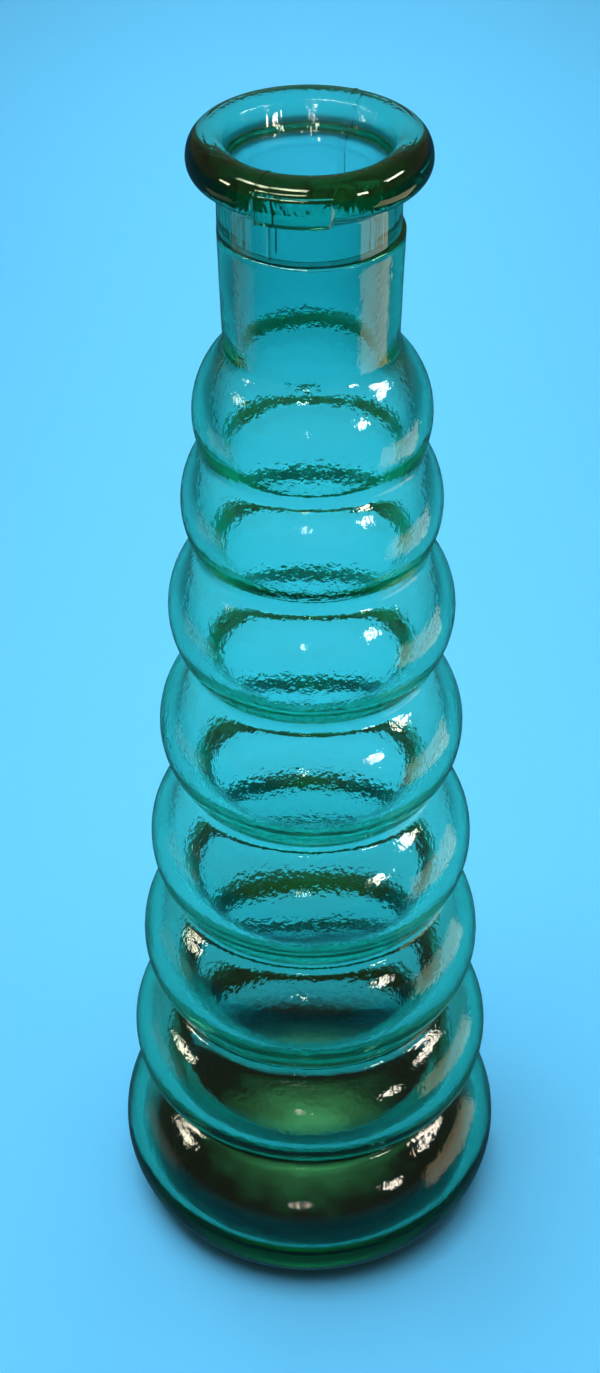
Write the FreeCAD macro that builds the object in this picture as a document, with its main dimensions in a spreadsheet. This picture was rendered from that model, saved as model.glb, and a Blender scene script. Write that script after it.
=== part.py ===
import FreeCAD, Part
import math
import os
import Sketcher

# A hand-size glass bottle of eight stacked rounded rings, with a straight neck and a rolled lip.
# +Z is up, and the origin is the middle of the ring that the bottle stands on.

doc = FreeCAD.newDocument("ringed_bottle")
sheet = doc.addObject("Spreadsheet::Sheet", "Sizes")

# Driving dimensions in millimetres and degrees.
sizes = {
    "wall": 3.0,               # glass thickness at the crown of a ring
    "base_thickness": 7.0,     # from the table to the inside floor
    "push_up_radius": 20.0,    # edge of the hollow under the base
    "push_up_depth": 3.0,
    "heel_radius": 4.0,        # rounding between the base and the lowest ring
    "floor_corner": 5.0,       # rounding of the inside floor
    "crease_radius": 1.5,      # bottom of the groove between two rings
    "inner_crease": 3.5,       # softer inside, where the glass gathers
    "shoulder_radius": 2.5,    # where the neck grows out of the top ring
    "neck_root_radius": 12.3,
    "neck_top_radius": 12.7,
    "neck_top_height": 189.8,  # parting plane between the body and the finish
    "throat_radius": 11.6,     # inside shoulder below the bore
    "bore_radius": 10.2,
    "finish_shift": 0.5,       # the finish stands a little to the left of the neck
    "finish_height": 13.2,
    "collar_radius": 12.4,
    "cove_radius": 2.0,        # hollow under the lip
    "lip_radius": 16.3,
    "lug_radius": 15.2,
    "lug_bottom": 7.0,         # above the parting plane
    "lug_span": 40.0,
    "lug_turn": 8.0,           # from the front towards the left
    "lug_round": 0.8,
    # Each ring from the bottom up: rise above the middle of the ring below, largest radius and the
    # radius of its rounded section.
    "ring_1_rise": 11.7, "ring_1_radius": 33.4, "ring_1_round": 14.4,
    "ring_2_rise": 24.6, "ring_2_radius": 30.7, "ring_2_round": 11.3,
    "ring_3_rise": 22.7, "ring_3_radius": 28.2, "ring_3_round": 14.4,
    "ring_4_rise": 21.9, "ring_4_radius": 26.1, "ring_4_round": 14.4,
    "ring_5_rise": 23.6, "ring_5_radius": 23.8, "ring_5_round": 14.4,
    "ring_6_rise": 22.5, "ring_6_radius": 21.7, "ring_6_round": 14.4,
    "ring_7_rise": 19.0, "ring_7_radius": 19.2, "ring_7_round": 14.4,
    "ring_8_rise": 14.9, "ring_8_radius": 17.1, "ring_8_round": 14.4,
}
ring_names = [name for name in sizes if name.endswith("_rise")]
ring_numbers = range(1, len(ring_names) + 1)
top_number = len(ring_names)


for row, (name, value) in enumerate(sizes.items(), start=1):
    sheet.set(f"A{row}", name)
    sheet.set(f"B{row}", str(value))
    sheet.setAlias(f"B{row}", name)
doc.recompute()


def size(name):
    return float(getattr(sheet, name))


def ring_height(number):
    return sum(size(f"ring_{lower}_rise") for lower in range(1, number + 1))


def height_expression(number):
    return " + ".join(f"Sizes.ring_{lower}_rise" for lower in range(1, number + 1))


def make_body(label):
    body = doc.addObject("PartDesign::Body", label)
    body.Label = label
    return body


def make_sketch(body, name, role):
    plane = next(feature for feature in body.Origin.OriginFeatures if feature.Role == role)
    sketch = body.newObject("Sketcher::SketchObject", name)
    sketch.AttachmentSupport = [(plane, "")]
    sketch.MapMode = "FlatFace"
    return sketch


# Names for the sketch's own axes and for the points of a line or arc.
HORIZONTAL, VERTICAL = range(-1, -3, -1)
START, END, CENTRE = range(1, 4)


def add_line(sketch, start, end):
    return sketch.addGeometry(Part.LineSegment(FreeCAD.Vector(*start, 0), FreeCAD.Vector(*end, 0)), False)


def add_arc(sketch, centre, radius, start_angle, end_angle):
    circle = Part.Circle(FreeCAD.Vector(*centre, 0), FreeCAD.Vector(0, 0, 1), radius)
    return sketch.addGeometry(Part.ArcOfCircle(circle, start_angle, end_angle), False)


def tie(sketch, kind, *points):
    sketch.addConstraint(Sketcher.Constraint(kind, *points))


def drive_radius(sketch, expression, arc):
    # A size starts at its drawn value, and the expression then takes it from the sheet.
    drawn = sketch.Geometry[arc].Radius
    index = sketch.addConstraint(Sketcher.Constraint("Radius", arc, drawn))
    sketch.setExpression(f"Constraints[{index}]", expression)


def drive_x(sketch, expression, curve, point):
    drawn = sketch.getPoint(curve, point).x
    index = sketch.addConstraint(Sketcher.Constraint("DistanceX", HORIZONTAL, START, curve, point, drawn))
    sketch.setExpression(f"Constraints[{index}]", expression)


def drive_y(sketch, expression, curve, point):
    drawn = sketch.getPoint(curve, point).y
    index = sketch.addConstraint(Sketcher.Constraint("DistanceY", HORIZONTAL, START, curve, point, drawn))
    sketch.setExpression(f"Constraints[{index}]", expression)


def direction(start, end):
    return math.atan2(end[1] - start[1], end[0] - start[0])


def outer_crossing(low, low_reach, high, high_reach):
    # The crossing, farther from the axis, of a circle about low and a circle about high.
    gap = math.dist(low, high)
    along = (gap ** 2 + low_reach ** 2 - high_reach ** 2) / (2 * gap)
    across = math.sqrt(low_reach ** 2 - along ** 2)
    turn = direction(low, high)
    return (low[0] + along * math.cos(turn) + across * math.sin(turn),
            low[1] + along * math.sin(turn) - across * math.cos(turn))


def draw_rings(sketch, wall, wall_expression, crease_name, corner_name, floor):
    # A chain of tangent arcs from a rounded corner on the floor up to the top ring: one bulging arc
    # for each ring, inset by the wall, and one hollow arc for each crease. It returns the corner and
    # the top ring.
    crease = size(crease_name)
    corner = size(corner_name)
    centres = []
    reaches = []
    for number in ring_numbers:
        rounding = size(f"ring_{number}_round")
        centres.append((size(f"ring_{number}_radius") - rounding, ring_height(number)))
        reaches.append(rounding - wall)
    creases = []
    for below in range(top_number - 1):
        creases.append(outer_crossing(centres[below], reaches[below] + crease,
                                      centres[below + 1], reaches[below + 1] + crease))

    corner_height = floor + corner
    drop = centres[0][1] - corner_height
    corner_centre = (centres[0][0] + math.sqrt((reaches[0] - corner) ** 2 - drop ** 2), corner_height)
    corner_turn = direction(centres[0], corner_centre)
    corner_arc = add_arc(sketch, corner_centre, corner, -math.pi / 2, corner_turn)
    drive_radius(sketch, f"Sizes.{corner_name}", corner_arc)

    below_arc = corner_arc
    below_end = END
    start_angle = corner_turn
    for index, number in enumerate(ring_numbers):
        is_top = index == len(creases)
        end_angle = math.pi / 4 if is_top else direction(centres[index], creases[index])
        ring_arc = add_arc(sketch, centres[index], reaches[index], start_angle, end_angle)
        drive_radius(sketch, f"Sizes.ring_{number}_round - {wall_expression}", ring_arc)
        drive_x(sketch, f"Sizes.ring_{number}_radius - Sizes.ring_{number}_round", ring_arc, CENTRE)
        drive_y(sketch, height_expression(number), ring_arc, CENTRE)
        tie(sketch, "Tangent", below_arc, below_end, ring_arc, START)
        if is_top:
            return corner_arc, ring_arc
        upper_turn = direction(creases[index], centres[index + 1])
        lower_turn = direction(creases[index], centres[index]) % (2 * math.pi)
        crease_arc = add_arc(sketch, creases[index], crease, upper_turn, lower_turn)
        drive_radius(sketch, f"Sizes.{crease_name}", crease_arc)
        tie(sketch, "Tangent", ring_arc, END, crease_arc, END)
        below_arc = crease_arc
        below_end = START
        start_angle = direction(centres[index + 1], creases[index])


def close_on_axis(sketch, top_curve, top_point, top, bottom_curve, bottom_point, bottom):
    # From the top of an outline across to the axis, and down the axis to where it began.
    across = add_line(sketch, top, (0, top[1]))
    tie(sketch, "Coincident", top_curve, top_point, across, START)
    tie(sketch, "Horizontal", across)
    tie(sketch, "PointOnObject", across, END, VERTICAL)
    down = add_line(sketch, (0, top[1]), bottom)
    tie(sketch, "Coincident", across, END, down, START)
    tie(sketch, "Coincident", down, END, bottom_curve, bottom_point)


def turn_about_axis(body, kind, name, sketch):
    feature = body.newObject(kind, name)
    feature.Profile = sketch
    feature.ReferenceAxis = (sketch, ["V_Axis"])
    feature.Angle = 360
    return feature


# Body: the outside, from the push-up under the base to the parting plane at the top of the neck.
bottle = make_body("bottle_body")
outside = make_sketch(bottle, "OutsideProfile", "XZ_Plane")
heel_arc, top_ring = draw_rings(outside, 0, "0", "crease_radius", "heel_radius", 0)
push_radius = size("push_up_radius")
push_depth = size("push_up_depth")
dome_radius = (push_radius ** 2 + push_depth ** 2) / (2 * push_depth)
dome_centre = (0, push_depth - dome_radius)
dome = add_arc(outside, dome_centre, dome_radius, direction(dome_centre, (push_radius, 0)), math.pi / 2)
tie(outside, "PointOnObject", dome, CENTRE, VERTICAL)
tie(outside, "PointOnObject", dome, END, VERTICAL)
drive_y(outside, "Sizes.push_up_depth", dome, END)
foot = add_line(outside, (push_radius, 0), (size("ring_1_radius") - size("heel_radius"), 0))
tie(outside, "Coincident", dome, START, foot, START)
tie(outside, "PointOnObject", foot, START, HORIZONTAL)
tie(outside, "Horizontal", foot)
drive_x(outside, "Sizes.push_up_radius", foot, START)
tie(outside, "Tangent", foot, END, heel_arc, START)

neck_root = size("neck_root_radius")
neck_top = (size("neck_top_radius"), size("neck_top_height"))
shoulder = size("shoulder_radius")
top_centre = (size(f"ring_{top_number}_radius") - size(f"ring_{top_number}_round"), ring_height(top_number))
shoulder_reach = size(f"ring_{top_number}_round") + shoulder
shoulder_radius_from_axis = neck_root + shoulder
shoulder_rise = math.sqrt(shoulder_reach ** 2 - (shoulder_radius_from_axis - top_centre[0]) ** 2)
shoulder_centre = (shoulder_radius_from_axis, top_centre[1] + shoulder_rise)
shoulder_turn = direction(shoulder_centre, top_centre) % (2 * math.pi)
shoulder_arc = add_arc(outside, shoulder_centre, shoulder, math.pi, shoulder_turn)
drive_radius(outside, "Sizes.shoulder_radius", shoulder_arc)
tie(outside, "Tangent", top_ring, END, shoulder_arc, END)
neck = add_line(outside, (neck_root, shoulder_centre[1]), neck_top)
tie(outside, "Tangent", shoulder_arc, START, neck, START)
drive_x(outside, "Sizes.neck_root_radius", neck, START)
drive_x(outside, "Sizes.neck_top_radius", neck, END)
drive_y(outside, "Sizes.neck_top_height", neck, END)
close_on_axis(outside, neck, END, neck_top, dome, END, (0, push_depth))
turn_about_axis(bottle, "PartDesign::Revolution", "Outside", outside)
doc.recompute()
solid_volume = bottle.Shape.Volume

# Body: the hollow, which follows the rings more softly, and the bore down through the neck.
inside = make_sketch(bottle, "HollowProfile", "XZ_Plane")
floor = size("base_thickness")
wall = size("wall")
corner_arc, top_hollow = draw_rings(inside, wall, "Sizes.wall", "inner_crease", "floor_corner", floor)
floor_line = add_line(inside, (0, floor), (size("ring_1_radius") - size("floor_corner"), floor))
tie(inside, "PointOnObject", floor_line, START, VERTICAL)
tie(inside, "Horizontal", floor_line)
drive_y(inside, "Sizes.base_thickness", floor_line, START)
tie(inside, "Tangent", floor_line, END, corner_arc, START)
throat = (size("throat_radius"), ring_height(top_number) + wall)
drive_x(inside, "Sizes.throat_radius", top_hollow, END)
close_on_axis(inside, top_hollow, END, throat, floor_line, START, (0, floor))
turn_about_axis(bottle, "PartDesign::Groove", "Hollow", inside)

bore_sketch = make_sketch(bottle, "NeckBore", "XY_Plane")
bore_sketch.setExpression("AttachmentOffset.Base.z", "Sizes.neck_top_height")
bore_centre = FreeCAD.Vector(-size("finish_shift"), 0, 0)
bore_rim = Part.Circle(bore_centre, FreeCAD.Vector(0, 0, 1), size("bore_radius"))
bore_circle = bore_sketch.addGeometry(bore_rim, False)
drive_radius(bore_sketch, "Sizes.bore_radius", bore_circle)
drive_x(bore_sketch, "-Sizes.finish_shift", bore_circle, CENTRE)
tie(bore_sketch, "PointOnObject", bore_circle, CENTRE, HORIZONTAL)
bore = bottle.newObject("PartDesign::Pocket", "Bore")
bore.Profile = bore_sketch
bore.setExpression("Length", f"Sizes.neck_top_height - ({height_expression(top_number)})")
doc.recompute()

# Finish: the collar, the cove and the rolled lip, turned about their own axis on the parting plane.
finish = make_body("lip_finish")
finish.setExpression("Placement.Base.x", "-Sizes.finish_shift")
finish.setExpression("Placement.Base.z", "Sizes.neck_top_height")
bore_radius = size("bore_radius")
collar_radius = size("collar_radius")
lip_round = (size("lip_radius") - bore_radius) / 2
lip_centre = (bore_radius + lip_round, size("finish_height") - lip_round)
cove = size("cove_radius")
cove_drop = math.sqrt((lip_round + cove) ** 2 - (collar_radius + cove - lip_centre[0]) ** 2)
cove_centre = (collar_radius + cove, lip_centre[1] - cove_drop)

section = make_sketch(finish, "LipProfile", "XZ_Plane")
seat = add_line(section, (bore_radius, 0), (collar_radius, 0))
collar = add_line(section, (collar_radius, 0), (collar_radius, cove_centre[1]))
cove_arc = add_arc(section, cove_centre, cove, direction(cove_centre, lip_centre), math.pi)
lip_arc = add_arc(section, lip_centre, lip_round, direction(lip_centre, cove_centre), math.pi)
wall_line = add_line(section, (bore_radius, lip_centre[1]), (bore_radius, 0))
tie(section, "PointOnObject", seat, START, HORIZONTAL)
tie(section, "Horizontal", seat)
tie(section, "Coincident", seat, END, collar, START)
tie(section, "Vertical", collar)
tie(section, "Tangent", collar, END, cove_arc, END)
tie(section, "Tangent", cove_arc, START, lip_arc, START)
tie(section, "Tangent", lip_arc, END, wall_line, START)
tie(section, "Vertical", wall_line)
tie(section, "Coincident", wall_line, END, seat, START)
lip_round_expression = "(Sizes.lip_radius - Sizes.bore_radius) / 2"
drive_x(section, "Sizes.bore_radius", seat, START)
drive_x(section, "Sizes.collar_radius", seat, END)
drive_radius(section, "Sizes.cove_radius", cove_arc)
drive_radius(section, lip_round_expression, lip_arc)
drive_y(section, f"Sizes.finish_height - {lip_round_expression}", lip_arc, CENTRE)
turn_about_axis(finish, "PartDesign::Revolution", "Lip", section)
doc.recompute()
plain_lip_volume = finish.Shape.Volume

# Finish: the lug under the front of the lip, a short turn of a block that grows out of the collar.
lug_section = make_sketch(finish, "LugProfile", "YZ_Plane")
lug_facing = FreeCAD.Rotation(FreeCAD.Vector(0, 1, 0), 180 - size("lug_turn"))
lug_section.AttachmentOffset = FreeCAD.Placement(FreeCAD.Vector(), lug_facing)
lug_section.setExpression("AttachmentOffset.Rotation.Angle", "180 - Sizes.lug_turn")
lug_low = size("lug_bottom")
lug_round = size("lug_round")
lug_face = size("lug_radius")
root = (bore_radius + collar_radius) / 2
lug_under = add_line(lug_section, (root, lug_low), (lug_face - lug_round, lug_low))
lug_edge = add_arc(lug_section, (lug_face - lug_round, lug_low + lug_round), lug_round, -math.pi / 2, 0)
lug_front = add_line(lug_section, (lug_face, lug_low + lug_round), (lug_face, lip_centre[1]))
lug_top = add_line(lug_section, (lug_face, lip_centre[1]), (root, lip_centre[1]))
lug_back = add_line(lug_section, (root, lip_centre[1]), (root, lug_low))
tie(lug_section, "Horizontal", lug_under)
tie(lug_section, "Tangent", lug_under, END, lug_edge, START)
tie(lug_section, "Tangent", lug_edge, END, lug_front, START)
tie(lug_section, "Vertical", lug_front)
tie(lug_section, "Coincident", lug_front, END, lug_top, START)
tie(lug_section, "Horizontal", lug_top)
tie(lug_section, "Coincident", lug_top, END, lug_back, START)
tie(lug_section, "Vertical", lug_back)
tie(lug_section, "Coincident", lug_back, END, lug_under, START)
drive_x(lug_section, "(Sizes.bore_radius + Sizes.collar_radius) / 2", lug_under, START)
drive_y(lug_section, "Sizes.lug_bottom", lug_under, START)
drive_radius(lug_section, "Sizes.lug_round", lug_edge)
drive_x(lug_section, "Sizes.lug_radius", lug_front, START)
drive_y(lug_section, f"Sizes.finish_height - {lip_round_expression}", lug_top, START)
lug = turn_about_axis(finish, "PartDesign::Revolution", "Lug", lug_section)
lug.Midplane = True
lug.setExpression("Angle", "Sizes.lug_span")
doc.recompute()

for thing in doc.Objects:
    if "Invalid" in thing.State or "Error" in thing.State:
        raise RuntimeError(f"{thing.Name} did not build: {thing.State}")
for piece in (bottle, finish):
    if piece.Shape.isNull() or not piece.Shape.isValid() or len(piece.Shape.Solids) != 1:
        raise RuntimeError(f"{piece.Label} is not one sound solid")
if bottle.Shape.Volume > 0.7 * solid_volume:
    raise RuntimeError("the body was not hollowed")
if finish.Shape.Volume <= plain_lip_volume:
    raise RuntimeError("the lug added nothing")

os.makedirs("parts", exist_ok=True)
for piece in (bottle, finish):
    piece.Shape.exportStep(f"parts/{piece.Label}.step")
    box = piece.Shape.optimalBoundingBox()
    print(f"{piece.Label}: {piece.Shape.Volume / 1000:.1f} cm3, z {box.ZMin:.2f} to {box.ZMax:.2f} mm")
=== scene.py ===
import math

import bmesh
import bpy
from mathutils import Matrix, Vector, noise


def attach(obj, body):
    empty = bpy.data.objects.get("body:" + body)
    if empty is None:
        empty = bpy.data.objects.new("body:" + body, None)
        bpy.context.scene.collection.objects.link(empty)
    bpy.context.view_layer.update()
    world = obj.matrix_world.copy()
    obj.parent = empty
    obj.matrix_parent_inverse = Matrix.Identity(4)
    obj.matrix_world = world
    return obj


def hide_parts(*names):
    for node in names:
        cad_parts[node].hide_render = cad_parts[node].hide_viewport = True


# A teal glass bottle of eight stacked rings on sky-blue paper. Sections are drawn in millimetres.
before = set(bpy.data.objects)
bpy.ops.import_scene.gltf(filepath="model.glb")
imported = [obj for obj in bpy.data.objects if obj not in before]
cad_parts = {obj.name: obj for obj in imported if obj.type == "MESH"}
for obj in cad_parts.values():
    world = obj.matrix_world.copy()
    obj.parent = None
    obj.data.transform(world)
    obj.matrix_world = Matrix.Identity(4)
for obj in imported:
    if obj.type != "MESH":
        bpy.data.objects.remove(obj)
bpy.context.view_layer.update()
scene = bpy.context.scene
mm = 0.001
mergeReach = 0.001      # millimetres
sharpEdge = 50          # degrees
quarterArc = 1.6        # length of a quarter turn of radius 1, rounded up
print("frame loaded")


class Wire:
    # A shader socket that takes part in plain sums.
    def __init__(self, glaze, socket):
        self.glaze = glaze
        self.socket = socket

    def sum(self, operation, first, second):
        return self.glaze.add("ShaderNodeMath", {"operation": operation}, {0: first, 1: second})

    def __add__(self, other):
        return self.sum("ADD", self, other)

    def __radd__(self, other):
        return self.sum("ADD", other, self)

    def __sub__(self, other):
        return self.sum("SUBTRACT", self, other)

    def __rsub__(self, other):
        return self.sum("SUBTRACT", other, self)

    def __mul__(self, other):
        return self.sum("MULTIPLY", self, other)

    def __rmul__(self, other):
        return self.sum("MULTIPLY", other, self)


class Glaze:
    # Builds one node tree, for a material or for the world.
    def __init__(self, owner):
        owner.use_nodes = True
        self.tree = owner.node_tree
        self.tree.nodes.clear()

    def add(self, kind, settings, sockets, output=0):
        node = self.tree.nodes.new(kind)
        for name, value in settings.items():
            if name == "stops":
                self.setStops(node.color_ramp, value)
            else:
                setattr(node, name, value)
        for name, value in sockets.items():
            if isinstance(value, Wire):
                self.tree.links.new(value.socket, node.inputs[name])
            else:
                node.inputs[name].default_value = value
        return Wire(self, node.outputs[output]) if node.outputs else node

    def setStops(self, ramp, stops):
        while len(ramp.elements) < len(stops):
            ramp.elements.new(1)
        for element, (place, colour) in zip(ramp.elements, stops):
            element.position = place
            element.color = colour


def aim(start, end):
    return math.atan2(end[1] - start[1], end[0] - start[0])


def smoothStep(low, high, value):
    share = min(1, max(0, (value - low) / (high - low)))
    return share * share * (3 - 2 * share)


def outerCrossing(low, lowReach, high, highReach):
    # The crossing, farther from the axis, of a circle about low and a circle about high.
    gap = math.dist(low, high)
    along = (gap ** 2 + lowReach ** 2 - highReach ** 2) / (2 * gap)
    across = math.sqrt(lowReach ** 2 - along ** 2)
    turn = aim(low, high)
    return (low[0] + along * math.cos(turn) + across * math.sin(turn),
            low[1] + along * math.sin(turn) - across * math.cos(turn))


class Section:
    # Half of a cut through a turned piece: X is the radius, Z the height, and each stretch is a spin.
    def __init__(self, pitch):
        self.mesh = bmesh.new()
        self.pitch = pitch
        self.tip = None

    def moveTo(self, radius, height):
        self.tip = self.mesh.verts.new((radius, 0, height))

    def grow(self, length, **turn):
        before = set(self.mesh.verts)
        steps = max(2, math.ceil(length / self.pitch))
        if "dvec" in turn:
            turn["dvec"] = turn["dvec"] / steps
        made = bmesh.ops.spin(self.mesh, geom=[self.tip], steps=steps, **turn)
        self.tip = next(item for item in made["geom_last"] if isinstance(item, bmesh.types.BMVert))
        return [vert for vert in self.mesh.verts if vert not in before]

    def lineTo(self, radius, height):
        way = Vector((radius, 0, height)) - self.tip.co
        self.grow(way.length, dvec=way, axis=(0, 1, 0), angle=0)

    def arcTo(self, centre, endAngle):
        place = (self.tip.co.x, self.tip.co.z)
        turn = (endAngle - aim(centre, place) + math.pi) % (2 * math.pi) - math.pi
        reach = math.dist(centre, place)
        self.grow(reach * abs(turn), cent=(centre[0], 0, centre[1]), axis=(0, 1, 0), angle=-turn)

    def sweepTo(self, radius, height, leaveLevel):
        # A quarter of an ellipse: a quarter turn, stretched to reach the end.
        across = radius - self.tip.co.x
        rise = height - self.tip.co.z
        centre = (self.tip.co.x, height) if leaveLevel else (radius, self.tip.co.z)
        turn = math.pi / 2 * (-1 if (across * rise > 0) == leaveLevel else 1)
        stretch = (abs(across / rise), 1, 1) if leaveLevel else (1, 1, abs(rise / across))
        pivot = Vector((centre[0], 0, centre[1]))
        length = max(abs(across), abs(rise)) * quarterArc
        made = self.grow(length, cent=pivot, axis=(0, 1, 0), angle=turn)
        bmesh.ops.scale(self.mesh, vec=stretch, space=Matrix.Translation(-pivot), verts=made)

    def turned(self, sectors):
        # Each sector is a share of the full turn, in degrees, and its number of steps.
        mesh = self.mesh
        bmesh.ops.remove_doubles(mesh, verts=mesh.verts, dist=mergeReach)
        last = mesh.verts[:] + mesh.edges[:]
        for angle, steps in sectors:
            made = bmesh.ops.spin(mesh, geom=last, steps=steps, angle=math.radians(angle),
                                  axis=(0, 0, 1), cent=(0, 0, 0), use_merge=angle == 360)
            last = made["geom_last"]
        bmesh.ops.remove_doubles(mesh, verts=mesh.verts, dist=mergeReach)
        bmesh.ops.recalc_face_normals(mesh, faces=mesh.faces)
        mesh.normal_update()
        return mesh


def makePiece(name, mesh, material, node):
    bmesh.ops.scale(mesh, vec=(mm, mm, mm), verts=mesh.verts)
    data = bpy.data.meshes.new(name)
    mesh.to_mesh(data)
    mesh.free()
    data.shade_smooth()
    data.set_sharp_from_angle(angle=math.radians(sharpEdge))
    data.materials.append(material)
    piece = bpy.data.objects.new(name, data)
    scene.collection.objects.link(piece)
    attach(piece, "root")
    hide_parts(node)
    print(name, "made with", len(data.polygons), "faces")


def facesOut(vert):
    return vert.normal.x * vert.co.x + vert.normal.y * vert.co.y > 0


# Glass: its colour is in its depth, and the mould and the breath that blew it left it uneven.
glass = {
    "tint": (0.03, 0.90, 0.75, 1),
    "depth": 240,
    "bend": 1.52,
    # Painted shade: the colour darkens towards the base of the bottle, deepest at the heel where it meets
    # the paper; the neck is a little deeper in colour too.
    "toneReach": 0.2,           # metres
    "tonesAndShade": ((0, (0.12, 0.26, 0.26, 1)), (0.022, (0.20, 0.42, 0.42, 1)), (0.04, (0.38, 0.64, 0.58, 1)),
              (0.26, (0.52, 0.75, 0.70, 1)), (0.40, (1, 1, 1, 1)), (0.8, (1, 1, 1, 1)),
              (0.88, (0.40, 0.75, 0.74, 1))),
    "smudge": (60, 0.02),       # patches to the metre and their largest roughness
    "scorePitch": 0.7,          # millimetres between the upright scores left inside the bore
    "scoreStretch": 0.02,
}


def makeGlass(name, pebble, score):
    pebbleSize, pebbleHeight = pebble
    patches, smudge = glass["smudge"]
    material = bpy.data.materials.new(name)
    glaze = Glaze(material)
    place = glaze.add("ShaderNodeTexCoord", {}, {}, "Object")
    height = glaze.add("ShaderNodeSeparateXYZ", {}, {"Vector": place}, "Z")
    # Painted shade: the base colour is set by height, darker low on the bottle and darkest at the heel.
    toneAndShade = glaze.add("ShaderNodeValToRGB", {"stops": glass["tonesAndShade"]},
                     {"Fac": height * (1 / glass["toneReach"])})
    outside = glaze.add("ShaderNodeAttribute", {"attribute_name": "outside"}, {}, "Fac")
    pebbles = glaze.add("ShaderNodeTexNoise", {}, {
        "Vector": place, "Scale": 1 / (pebbleSize * mm), "Detail": 2})
    cloud = glaze.add("ShaderNodeTexNoise", {}, {"Vector": place, "Scale": patches, "Detail": 3})
    upright = glaze.add("ShaderNodeVectorMath", {"operation": "MULTIPLY"},
                        {0: place, 1: (1, 1, glass["scoreStretch"])})
    scores = glaze.add("ShaderNodeTexNoise", {}, {
        "Vector": upright, "Scale": 1 / (glass["scorePitch"] * mm), "Detail": 1})
    relief = pebbles * outside * pebbleHeight + scores * (1 - outside) * score
    bump = glaze.add("ShaderNodeBump", {}, {"Height": relief, "Strength": 1, "Distance": mm})
    surface = glaze.add("ShaderNodeBsdfPrincipled", {}, {
        "Base Color": toneAndShade, "Roughness": smudge * cloud, "IOR": glass["bend"], "Transmission Weight": 1,
        "Normal": bump})
    depth = glaze.add("ShaderNodeVolumeAbsorption", {}, {"Color": glass["tint"], "Density": glass["depth"]})
    glaze.add("ShaderNodeOutputMaterial", {}, {"Surface": surface, "Volume": depth})
    return material


# Body: the rings, a small shoulder and a straight neck, as one hollow wall.
bottleBody = {
    # From the bottom up: rise above the middle of the ring below, largest radius, radius of the round.
    "rings": ((11.7, 33.4, 14.4), (24.6, 30.7, 11.3), (22.7, 28.2, 14.4), (21.9, 26.1, 14.4),
              (23.6, 23.8, 14.4), (22.5, 21.7, 14.4), (19.0, 19.2, 14.4), (14.9, 17.1, 14.4)),
    "wall": 3.0,
    "baseThickness": 7.0,
    "pushUp": (20.0, 3.0),      # radius and depth of the hollow under the base
    "heel": 4.0,
    "floorCorner": 5.0,
    "crease": 1.5,
    "innerCrease": 3.5,
    "shoulder": 2.5,
    "neckRoot": 12.3,
    "neckTop": 12.7,
    "neckEdge": 0.4,
    "bore": 9.5,
    "partingHeight": 189.8,
    "leanSpan": (164, 176),     # heights where the neck's lean to the left starts and is full
    "neckLean": 0.25,
    "boreLean": 0.5,
    "outerWave": (14.0, 0.06),  # length and height of the unevenness outside
    "innerWave": (11.0, 0.16),
    "waveDrift": 40,            # sets the waves outside apart from those inside
    "waveFoot": (0.5, 6),       # heights where the waves start and are full
    "waveEnd": (12, 3),         # how far below the parting plane they fade, and end
    "pebble": (0.9, 0.06),      # size and height
    "score": 0,
    "segments": 144,
    "pitch": 1.1,
}


def drawWall(section, inset, crease, corner, floor, neckRadius, shoulder):
    centres = []
    reaches = []
    height = 0
    for rise, radius, rounding in bottleBody["rings"]:
        height += rise
        centres.append((radius - rounding, height))
        reaches.append(rounding - inset)
    cornerHeight = floor + corner
    drop = centres[0][1] - cornerHeight
    cornerCentre = (centres[0][0] + math.sqrt((reaches[0] - corner) ** 2 - drop ** 2), cornerHeight)
    section.lineTo(cornerCentre[0], floor)
    section.arcTo(cornerCentre, aim(centres[0], cornerCentre))
    for low in range(len(centres) - 1):
        high = low + 1
        hollow = outerCrossing(centres[low], reaches[low] + crease, centres[high], reaches[high] + crease)
        section.arcTo(centres[low], aim(centres[low], hollow))
        section.arcTo(hollow, aim(hollow, centres[high]))
    across = neckRadius + shoulder - centres[-1][0]
    shoulderCentre = (neckRadius + shoulder,
                      centres[-1][1] + math.sqrt((reaches[-1] + shoulder) ** 2 - across ** 2))
    section.arcTo(centres[-1], aim(centres[-1], shoulderCentre))
    section.arcTo(shoulderCentre, math.pi)


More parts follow.
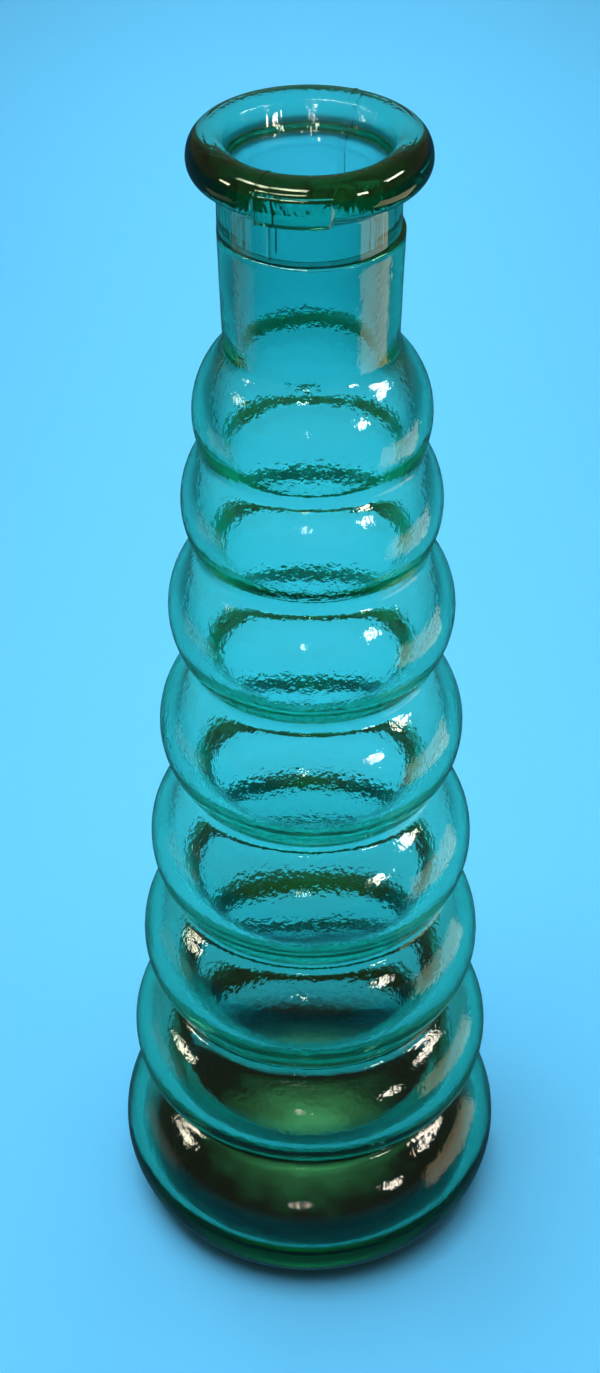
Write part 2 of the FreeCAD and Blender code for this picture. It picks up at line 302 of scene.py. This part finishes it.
def makeBody():
    part = bottleBody
    top = part["partingHeight"]
    edge = part["neckEdge"]
    fade, still = part["waveEnd"]
    pushRadius, pushDepth = part["pushUp"]
    domeRadius = (pushRadius ** 2 + pushDepth ** 2) / (2 * pushDepth)
    domeCentre = (0, pushDepth - domeRadius)
    section = Section(part["pitch"])
    section.moveTo(0, pushDepth)
    section.arcTo(domeCentre, aim(domeCentre, (pushRadius, 0)))
    drawWall(section, 0, part["crease"], part["heel"], 0, part["neckRoot"], part["shoulder"])
    section.lineTo(part["neckTop"], top - edge)
    section.sweepTo(part["neckTop"] - edge, top, False)
    section.lineTo(part["bore"], top)
    section.moveTo(0, part["baseThickness"])
    drawWall(section, part["wall"], part["innerCrease"], part["floorCorner"], part["baseThickness"],
             part["bore"], part["shoulder"])
    section.lineTo(part["bore"], top)
    mesh = section.turned([(360, part["segments"])])
    mould = mesh.verts.layers.float.new("outside")
    for vert in mesh.verts:
        outside = facesOut(vert)
        vert[mould] = outside
        length, height = part["outerWave"] if outside else part["innerWave"]
        settle = smoothStep(*part["waveFoot"], vert.co.z)
        settle *= 1 - smoothStep(top - fade, top - still, vert.co.z)
        drift = Vector((0, 0, part["waveDrift"] if outside else 0))
        lean = part["neckLean"] if outside else part["boreLean"]
        neck = smoothStep(*part["leanSpan"], vert.co.z)
        vert.co += vert.normal * settle * height * noise.noise(vert.co / length + drift)
        vert.co.x -= lean * neck
    material = makeGlass("bodyGlass", part["pebble"], part["score"])
    makePiece("ringedBody", mesh, material, "bottle_body")


# Finish: a collar, a cove, the rolled lip and a small lug, formed in the neck ring of the mould.
lipFinish = {
    "shift": 0.5,               # to the left of the rings
    "overlap": 0.1,             # into the neck, so that light passes from glass to glass
    "bore": 9.5,
    "boreTop": 7.0,             # heights are above the parting plane
    "rim": (11.3, 12.0),        # top of the flared mouth
    "crown": (14.0, 13.2),
    "widest": (16.28, 9.9),
    "underside": (14.1, 7.35),
    "collar": (12.4, 5.4),
    "lugFace": 16.6,
    "lugBottom": 7.2,
    "lugTop": 11.7,
    "lugRound": 0.35,
    "lugSoft": 0.1,             # how far it fades below its bottom
    "lugSide": 0.9,
    "lugSpan": (-28, 12),       # degrees from the front, to the right
    "seams": (-25, 155),
    "seamHeight": 0.12,
    "seamWidth": 0.2,
    "seamFoot": (0.2, 1),       # heights where a seam starts and is full
    "pebble": (3.0, 0.01),
    "score": 0.12,
    "coarse": 2.0,              # degrees between columns, finer at the seams and the lug's sides
    "fine": 0.2,
    "fineReach": 2.6,
    "pitch": 0.3,
}


def finishSectors():
    # Columns run from the right, where the section is drawn, round the back to the front.
    part = lipFinish
    sectors = []
    drawnAt = 90
    reached = drawnAt
    for spot in sorted((angle - drawnAt) % 360 + drawnAt for angle in part["seams"] + part["lugSpan"]):
        start = max(reached, spot - part["fineReach"])
        end = spot + part["fineReach"]
        if start > reached:
            sectors.append((start - reached, math.ceil((start - reached) / part["coarse"])))
        sectors.append((end - start, math.ceil((end - start) / part["fine"])))
        reached = end
    rest = drawnAt + 360 - reached
    sectors.append((rest, math.ceil(rest / part["coarse"])))
    return sectors


def makeFinish():
    part = lipFinish
    base = bottleBody["partingHeight"]
    section = Section(part["pitch"])
    section.moveTo(part["bore"], -part["overlap"])
    section.lineTo(part["bore"], part["boreTop"])
    section.lineTo(*part["rim"])
    section.sweepTo(*part["crown"], False)
    section.sweepTo(*part["widest"], True)
    section.sweepTo(*part["underside"], False)
    section.sweepTo(*part["collar"], True)
    section.lineTo(part["collar"][0], -part["overlap"])
    section.lineTo(part["bore"], -part["overlap"])
    mesh = section.turned(finishSectors())
    mould = mesh.verts.layers.float.new("outside")
    lugStart, lugEnd = part["lugSpan"]
    for vert in mesh.verts:
        x, y, z = vert.co
        radius = math.hypot(x, y)
        angle = math.degrees(math.atan2(x, -y))
        outward = Vector((x, y, 0)) / radius
        outside = facesOut(vert)
        vert[mould] = outside
        if outside and part["lugBottom"] - part["lugSoft"] < z < part["lugTop"]:
            inset = math.radians(min(angle - lugStart, lugEnd - angle)) * radius
            level = min(z - part["lugBottom"], part["lugTop"] - z)
            upright = smoothStep(-part["lugSoft"], part["lugRound"], level)
            raised = smoothStep(0, part["lugSide"], inset) * upright * max(0, part["lugFace"] - radius)
            vert.co += outward * raised
        for seam in part["seams"]:
            away = math.radians((angle - seam + 180) % 360 - 180) * radius
            ridge = part["seamHeight"] * math.exp(-(away / part["seamWidth"]) ** 2)
            vert.co += vert.normal * ridge * smoothStep(*part["seamFoot"], z)
    bmesh.ops.translate(mesh, vec=(-part["shift"], 0, base), verts=mesh.verts)
    material = makeGlass("finishGlass", part["pebble"], part["score"])
    makePiece("rolledLip", mesh, material, "lip_finish")


# Stage: a large sheet of blue paper, with a painted glow under the base.
paper = {
    "colour": (0.122, 0.56, 0.98, 1),
    "side": 80,                 # metres
    "rough": 0.9,
    "gloss": 0.1,
    "fibre": (700, 0.2, 0.05),  # fibres to the metre, strength, and depth in millimetres
    # Painted light: the paper glows warm under the base, in place of the light the glass would gather
    # there. The reach is in metres.
    "paintedGlow": ((0, (2.5, 1.15, 0.62, 1)), (0.35, (2.1, 0.95, 0.5, 1)), (0.6, (1.0, 0.42, 0.22, 1)),
                 (0.85, (0.35, 0.15, 0.08, 1)), (1, (0, 0, 0, 1))),
    "glowMottle": (160, 0.5),       # patches to the metre and how far they dim the painted glow
    "glowCentre": (0, 0.001, 0),
    "glowReach": 0.027,
}


def makePaper():
    fibres, strength, fibreDepth = paper["fibre"]
    patches, dimming = paper["glowMottle"]
    mesh = bmesh.new()
    bmesh.ops.create_grid(mesh, x_segments=1, y_segments=1, size=paper["side"] / 2)
    data = bpy.data.meshes.new("paper")
    mesh.to_mesh(data)
    mesh.free()
    material = bpy.data.materials.new("bluePaper")
    glaze = Glaze(material)
    place = glaze.add("ShaderNodeTexCoord", {}, {}, "Object")
    fibre = glaze.add("ShaderNodeTexNoise", {}, {"Vector": place, "Scale": fibres, "Detail": 3})
    bump = glaze.add("ShaderNodeBump", {}, {
        "Height": fibre, "Strength": strength, "Distance": fibreDepth * mm})
    away = glaze.add("ShaderNodeVectorMath", {"operation": "DISTANCE"},
                     {0: place, 1: paper["glowCentre"]}, "Value")
    glowMottle = glaze.add("ShaderNodeTexNoise", {}, {"Vector": place, "Scale": patches, "Detail": 2})
    # Painted light: a warm glow on the paper under the base, fading outward and broken into patches.
    fade = away * (1 / paper["glowReach"]) + glowMottle * dimming
    paintedGlow = glaze.add("ShaderNodeValToRGB", {"stops": paper["paintedGlow"]}, {"Fac": fade})
    surface = glaze.add("ShaderNodeBsdfPrincipled", {}, {
        "Base Color": paper["colour"], "Roughness": paper["rough"], "Specular IOR Level": paper["gloss"],
        "Emission Color": paintedGlow, "Emission Strength": 1, "Normal": bump})
    glaze.add("ShaderNodeOutputMaterial", {}, {"Surface": surface})
    data.materials.append(material)
    sheet = bpy.data.objects.new("paper", data)
    scene.collection.objects.link(sheet)
    sheet.visible_glossy = False    # the glass mirrors the dark ground of the room instead
    print("paper laid")


# Lights: soft panels round a dim warm room. Each has its turn from the front to the right and its rise
# in degrees, its distance and size and the height it faces in metres, its glow, colour and spread.
panels = {
    "leftPanel": (-86, 28, 0.17, (0.05, 0.02), 0.03, 40, (1.0, 0.94, 0.72), 34),
    "rightPanel": (90, 33, 1.0, (0.36, 0.11), 0.1, 26, (1.0, 0.93, 0.80), 180),
    "rightFrontPanel": (49, 20, 1.0, (0.16, 0.12), 0.1, 28, (1.0, 0.93, 0.80), 180),
    "frontPanel": (-5, 20, 1.0, (0.08, 0.05), 0.1, 22, (1.0, 0.94, 0.82), 180),
    "lipPanelLow": (-79, 11, 0.2, (0.04, 0.02), 0.2, 24, (1.0, 0.9, 0.66), 44),
    "lipPanelLeft": (-62, 44, 0.2, (0.10, 0.034), 0.2, 30, (1.0, 0.93, 0.70), 44),
    "lipPanelFront": (-22, 48, 0.2, (0.10, 0.034), 0.2, 30, (1.0, 0.93, 0.70), 44),
    "tanPanel": (88, -14, 0.26, (0.22, 0.10), 0.1, 1.8, (1.0, 0.82, 0.5), 180),
    "palePanel": (-92, -14, 0.30, (0.18, 0.08), 0.1, 0.35, (1.0, 0.96, 0.6), 180),
}
# Lamps that light the paper in three pools, in front of the bottle, behind it and far behind it.
lamps = {
    "pools": ((0, -0.08, 0), (0, 0.2, 0), (0, 0.5, 0)),
    "count": 7,                 # for each pool
    "rise": 73,                 # degrees
    "distance": 1.25,           # metres
    "side": 0.3,                # metres
    "glow": 9.2,
    "spread": 26,               # degrees
    "lead": (-110, 0.6),        # brightest from this turn, by this share
    "fill": (3.0, 0.9),         # side, and height, of one wide lamp overhead in metres, and its glow
    "white": (1, 1, 1),
}


def addLight(name, size, glow, colour, spread, place, aimPoint):
    # The glow is the brightness of the lamp's middle, whatever its size and spread.
    light = bpy.data.lights.new(name, "AREA")
    light.shape = "RECTANGLE"
    light.size, light.size_y = size
    light.color = colour
    light.spread = math.radians(spread)
    halfSpread = light.spread / 2
    narrowing = 1 - halfSpread / math.tan(halfSpread)
    light.energy = glow * math.pi * size[0] * size[1] * narrowing
    lamp = bpy.data.objects.new(name, light)
    lamp.location = place
    lamp.rotation_euler = (Vector(place) - Vector(aimPoint)).to_track_quat("Z", "Y").to_euler()
    lamp.visible_camera = False
    scene.collection.objects.link(lamp)
    return lamp


def towards(turn, rise):
    # The way to a place at this turn from the front to the right and this rise, both in degrees.
    around = math.radians(turn)
    up = math.radians(rise)
    return Vector((math.sin(around) * math.cos(up), -math.cos(around) * math.cos(up), math.sin(up)))


def addPanel(name, turn, rise, distance, size, level, glow, colour, spread):
    # A panel is for the gloss alone, and the lamps light the paper.
    middle = Vector((0, 0, level))
    lamp = addLight(name, size, glow, colour, spread, middle + distance * towards(turn, rise), middle)
    lamp.visible_diffuse = False
    lamp.visible_transmission = False


def forPaper(lamp):
    lamp.visible_glossy = False
    lamp.visible_transmission = False


def addFill():
    side, glow = lamps["fill"]
    forPaper(addLight("fillLamp", (side, side), glow, lamps["white"], 180, (0, 0, side), (0, 0, 0)))


def addLamps(pool):
    lead, share = lamps["lead"]
    size = (lamps["side"], lamps["side"])
    for index in range(lamps["count"]):
        turn = 360 / lamps["count"] * index
        glow = lamps["glow"] * (1 + share * math.cos(math.radians(turn - lead)))
        place = Vector(pool) + lamps["distance"] * towards(turn, lamps["rise"])
        forPaper(addLight("poolLamp", size, glow, lamps["white"], lamps["spread"], place, pool))


# Room: dark blue below the horizon, at 0.5, and dim and warm above it.
room = {
    "air": ((0.46, (0.02, 0.08, 0.14, 1)), (0.54, (0.15, 0.135, 0.10, 1))),
}


def makeRoom():
    world = bpy.data.worlds.new("room")
    scene.world = world
    glaze = Glaze(world)
    way = glaze.add("ShaderNodeTexCoord", {}, {}, "Generated")
    rise = glaze.add("ShaderNodeSeparateXYZ", {}, {"Vector": way}, "Z")
    air = glaze.add("ShaderNodeValToRGB", {"stops": room["air"]}, {"Fac": rise * 0.5 + 0.5})
    sky = glaze.add("ShaderNodeBackground", {}, {"Color": air, "Strength": 1})
    glaze.add("ShaderNodeOutputWorld", {}, {"Surface": sky})
    for name, settings in panels.items():
        addPanel(name, *settings)
    for pool in lamps["pools"]:
        addLamps(pool)
    addFill()
    print("room lit by", len(panels), "panels and", len(lamps["pools"]) * lamps["count"], "lamps")


# Camera: fitted to the outline of the photographed bottle, in a frame of 600 by 1373 pixels.
view = {
    "place": (0, -0.265279, 0.326008),
    "pitch": 39.0954,           # degrees below level
    "yaw": 0.3787,              # degrees to the left
    "focalPixels": 2193.47,
    "framePixels": 1373,
    "sensor": 36,               # millimetres
    "nearest": 0.01,            # metres
}


def makeCamera():
    lens = bpy.data.cameras.new("photoCamera")
    lens.sensor_fit = "VERTICAL"
    lens.sensor_height = view["sensor"]
    lens.sensor_width = view["sensor"]
    lens.lens = view["sensor"] * view["focalPixels"] / view["framePixels"]
    lens.clip_start = view["nearest"]
    camera = bpy.data.objects.new("photoCamera", lens)
    camera.location = view["place"]
    camera.rotation_euler = (math.radians(90 - view["pitch"]), 0, math.radians(view["yaw"]))
    scene.collection.objects.link(camera)
    scene.camera = camera
    print("camera placed")


# Light passes many walls of glass, and leaves no bright specks on the paper.
lightPaths = {
    "max_bounces": 24,
    "transmission_bounces": 24,
    "glossy_bounces": 12,
    "caustics_refractive": False,
    "caustics_reflective": False,
}

makeBody()
makeFinish()
makePaper()
makeRoom()
makeCamera()
for name, value in lightPaths.items():
    setattr(scene.cycles, name, value)
scene.view_settings.view_transform = "Standard"

bpy.context.view_layer.update()
